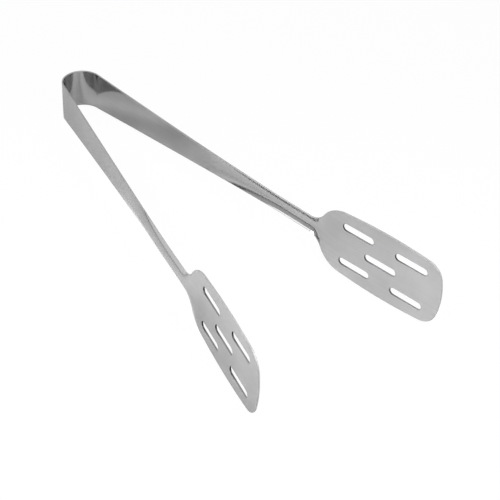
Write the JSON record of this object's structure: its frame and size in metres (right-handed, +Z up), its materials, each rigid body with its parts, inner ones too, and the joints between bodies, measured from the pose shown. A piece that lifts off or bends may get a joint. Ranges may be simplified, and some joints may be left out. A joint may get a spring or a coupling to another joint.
{
  "type": "cake tongs",
  "caption": "One-piece sprung cake tongs: a flat U-bow, arms curling into gutters, and broad slotted blades with rounded ends.",
  "frame": {"origin": "on the floor under the middle of the tongs' length, half way between the arms: the bottom centre of the box of the whole, at rest and open", "axes": "+X from the bow to the blade tips, +Y towards the left arm, square to the plane that the two arms mirror in, +Z up across the strip's width, along the axis that each arm turns about"},
  "size_m": [0.24, 0.1054, 0.0387],
  "materials": {
    "steel": "satin stainless steel, finely brushed along the strip"
  },
  "bodies": {
    "bow": {"bow": "steel"},
    "left_arm": {"left_arm": "steel", "left_blade": "steel"},
    "right_arm": {"right_arm": "steel", "right_blade": "steel"}
  },
  "joints": [
    {"name": "squeeze_left", "type": "hinge", "parent": "bow", "child": "left_arm", "pos_m": [-0.09495, 0.01275, 0.01935], "axis": [0, 0, -1], "range_deg": [0, 13.6], "stiffness_Nm_per_rad": 2.3},
    {"name": "squeeze_right", "type": "hinge", "parent": "bow", "child": "right_arm", "pos_m": [-0.09495, -0.01275, 0.01935], "axis": [0, 0, 1], "range_deg": [0, 13.6], "stiffness_Nm_per_rad": 2.3}
  ],
  "couplings": [
    {"joint": "squeeze_right", "follows": "squeeze_left", "ratio": 1}
  ]
}
